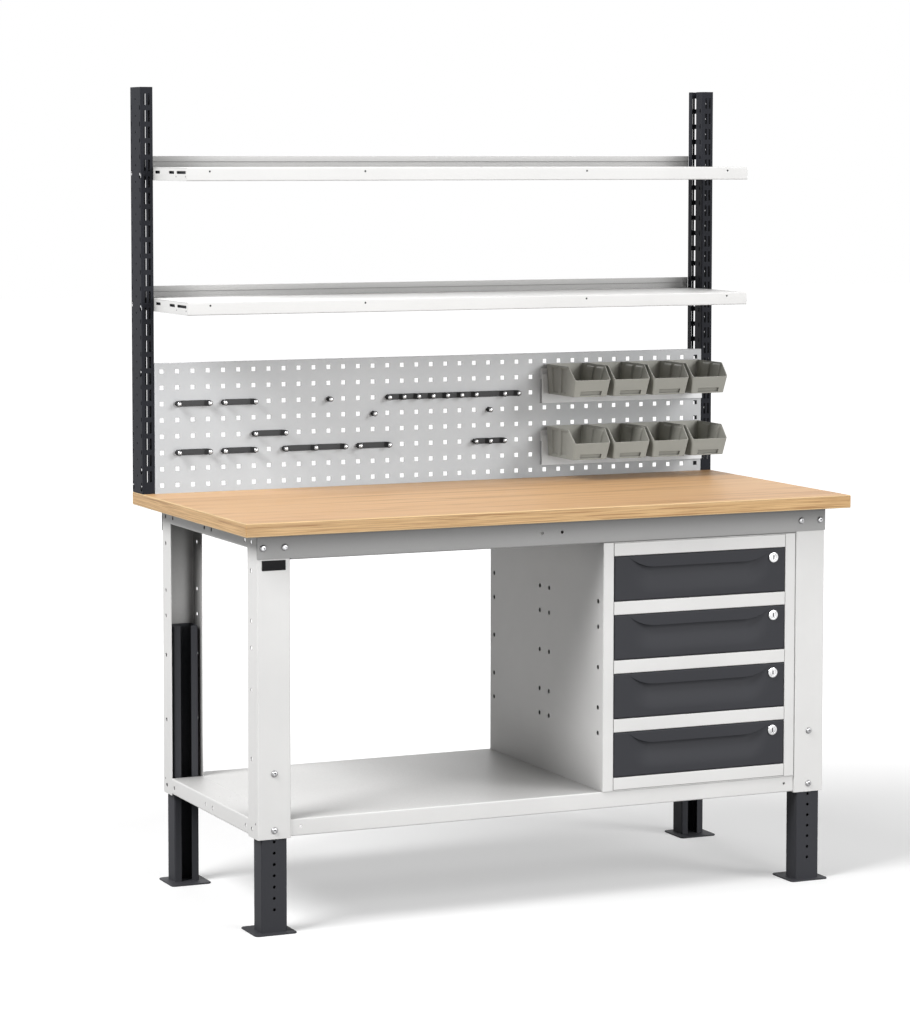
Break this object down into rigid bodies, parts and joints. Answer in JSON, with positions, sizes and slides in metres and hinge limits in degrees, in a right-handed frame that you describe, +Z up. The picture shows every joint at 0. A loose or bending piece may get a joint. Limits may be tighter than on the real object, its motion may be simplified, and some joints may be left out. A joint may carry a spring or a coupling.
{
  "type": "workbench",
  "caption": "Workshop bench with a wooden top, height-adjustable steel frame, drawer cabinet, low shelf, tool shelves, perforated back panel and hook-on bins.",
  "frame": {"origin": "on the floor under the middle of the bench", "axes": "+X along the bench to the right as seen from the front, +Y from the front to the back, +Z up"},
  "size_m": [1.5, 0.75, 1.851],
  "materials": {
    "beech_top": "satin",
    "light_paint": "satin",
    "dark_paint": "satin",
    "white_paint": "satin",
    "bin_plastic": "matte",
    "clip_plastic": "matte",
    "bright_metal": "polished",
    "zinc_steel": "satin",
    "plate_plastic": "gloss"
  },
  "bodies": {
    "bench": {"worktop": "beech_top", "outer_leg_front_left": "light_paint", "outer_leg_front_right": "light_paint", "outer_leg_back_left": "light_paint", "outer_leg_back_right": "light_paint", "leg_bolts": "zinc_steel", "beam_bolts": "zinc_steel", "front_beam": "light_paint", "back_beam": "light_paint", "top_side_rail_left": "light_paint", "low_side_rail_left": "light_paint", "top_side_rail_right": "light_paint", "low_side_rail_right": "light_paint", "low_shelf": "light_paint", "blank_plate": "plate_plastic", "cabinet_shell": "light_paint", "cabinet_floor": "light_paint", "cabinet_roof": "light_paint", "cabinet_rails": "light_paint", "fixed_runners": "zinc_steel", "upright_left": "dark_paint", "upright_right": "dark_paint", "upright_brackets": "zinc_steel", "tool_shelf_low": "light_paint", "tool_shelf_high": "light_paint", "perforated_panel": "light_paint", "bin_rail_high": "white_paint", "bin_rail_low": "white_paint", "tool_clips": "clip_plastic", "clip_knobs": "bright_metal"},
    "foot_front_left": {"inner_leg_front_left": "dark_paint"},
    "foot_front_right": {"inner_leg_front_right": "dark_paint"},
    "foot_back_left": {"inner_leg_back_left": "dark_paint"},
    "foot_back_right": {"inner_leg_back_right": "dark_paint"},
    "drawer_1": {"drawer_box_1": "light_paint", "drawer_front_1": "dark_paint"},
    "runner_1": {"middle_runners_1": "zinc_steel"},
    "lock_1": {"lock_1": "bright_metal"},
    "drawer_2": {"drawer_box_2": "light_paint", "drawer_front_2": "dark_paint"},
    "runner_2": {"middle_runners_2": "zinc_steel"},
    "lock_2": {"lock_2": "bright_metal"},
    "drawer_3": {"drawer_box_3": "light_paint", "drawer_front_3": "dark_paint"},
    "runner_3": {"middle_runners_3": "zinc_steel"},
    "lock_3": {"lock_3": "bright_metal"},
    "drawer_4": {"drawer_box_4": "light_paint", "drawer_front_4": "dark_paint"},
    "runner_4": {"middle_runners_4": "zinc_steel"},
    "lock_4": {"lock_4": "bright_metal"},
    "bin_high_1": {"bin_high_1": "bin_plastic"},
    "bin_high_2": {"bin_high_2": "bin_plastic"},
    "bin_high_3": {"bin_high_3": "bin_plastic"},
    "bin_high_4": {"bin_high_4": "bin_plastic"},
    "bin_low_1": {"bin_low_1": "bin_plastic"},
    "bin_low_2": {"bin_low_2": "bin_plastic"},
    "bin_low_3": {"bin_low_3": "bin_plastic"},
    "bin_low_4": {"bin_low_4": "bin_plastic"}
  },
  "joints": [
    {"name": "foot_front_left_height", "type": "slide", "parent": "bench", "child": "foot_front_left", "axis": [0, 0, 1], "range_m": [-0.225, 0.175]},
    {"name": "foot_front_right_height", "type": "slide", "parent": "bench", "child": "foot_front_right", "axis": [0, 0, 1], "range_m": [-0.225, 0.175]},
    {"name": "foot_back_left_height", "type": "slide", "parent": "bench", "child": "foot_back_left", "axis": [0, 0, 1], "range_m": [-0.225, 0.175]},
    {"name": "foot_back_right_height", "type": "slide", "parent": "bench", "child": "foot_back_right", "axis": [0, 0, 1], "range_m": [-0.225, 0.175]},
    {"name": "drawer_1_slide", "type": "slide", "parent": "bench", "child": "drawer_1", "axis": [0, -1, 0], "range_m": [0, 0.5]},
    {"name": "runner_1_slide", "type": "slide", "parent": "bench", "child": "runner_1", "axis": [0, -1, 0], "range_m": [0, 0.25]},
    {"name": "lock_1_turn", "type": "hinge", "parent": "drawer_1", "child": "lock_1", "pos_m": [0.5707, -0.32, 0.766], "axis": [0, 1, 0], "range_deg": [0, 90]},
    {"name": "drawer_2_slide", "type": "slide", "parent": "bench", "child": "drawer_2", "axis": [0, -1, 0], "range_m": [0, 0.5]},
    {"name": "runner_2_slide", "type": "slide", "parent": "bench", "child": "runner_2", "axis": [0, -1, 0], "range_m": [0, 0.25]},
    {"name": "lock_2_turn", "type": "hinge", "parent": "drawer_2", "child": "lock_2", "pos_m": [0.5707, -0.32, 0.63138], "axis": [0, 1, 0], "range_deg": [0, 90]},
    {"name": "drawer_3_slide", "type": "slide", "parent": "bench", "child": "drawer_3", "axis": [0, -1, 0], "range_m": [0, 0.5]},
    {"name": "runner_3_slide", "type": "slide", "parent": "bench", "child": "runner_3", "axis": [0, -1, 0], "range_m": [0, 0.25]},
    {"name": "lock_3_turn", "type": "hinge", "parent": "drawer_3", "child": "lock_3", "pos_m": [0.5707, -0.32, 0.49675], "axis": [0, 1, 0], "range_deg": [0, 90]},
    {"name": "drawer_4_slide", "type": "slide", "parent": "bench", "child": "drawer_4", "axis": [0, -1, 0], "range_m": [0, 0.5]},
    {"name": "runner_4_slide", "type": "slide", "parent": "bench", "child": "runner_4", "axis": [0, -1, 0], "range_m": [0, 0.25]},
    {"name": "lock_4_turn", "type": "hinge", "parent": "drawer_4", "child": "lock_4", "pos_m": [0.5707, -0.32, 0.36212], "axis": [0, 1, 0], "range_deg": [0, 90]},
    {"name": "bin_high_1_lift", "type": "slide", "parent": "bench", "child": "bin_high_1", "axis": [0, 0, 1], "range_m": [0, 0.025]},
    {"name": "bin_high_2_lift", "type": "slide", "parent": "bench", "child": "bin_high_2", "axis": [0, 0, 1], "range_m": [0, 0.025]},
    {"name": "bin_high_3_lift", "type": "slide", "parent": "bench", "child": "bin_high_3", "axis": [0, 0, 1], "range_m": [0, 0.025]},
    {"name": "bin_high_4_lift", "type": "slide", "parent": "bench", "child": "bin_high_4", "axis": [0, 0, 1], "range_m": [0, 0.025]},
    {"name": "bin_low_1_lift", "type": "slide", "parent": "bench", "child": "bin_low_1", "axis": [0, 0, 1], "range_m": [0, 0.025]},
    {"name": "bin_low_2_lift", "type": "slide", "parent": "bench", "child": "bin_low_2", "axis": [0, 0, 1], "range_m": [0, 0.025]},
    {"name": "bin_low_3_lift", "type": "slide", "parent": "bench", "child": "bin_low_3", "axis": [0, 0, 1], "range_m": [0, 0.025]},
    {"name": "bin_low_4_lift", "type": "slide", "parent": "bench", "child": "bin_low_4", "axis": [0, 0, 1], "range_m": [0, 0.025]}
  ],
  "couplings": [
    {"joint": "runner_1_slide", "follows": "drawer_1_slide", "ratio": 0.5},
    {"joint": "runner_2_slide", "follows": "drawer_2_slide", "ratio": 0.5},
    {"joint": "runner_3_slide", "follows": "drawer_3_slide", "ratio": 0.5},
    {"joint": "runner_4_slide", "follows": "drawer_4_slide", "ratio": 0.5}
  ]
}
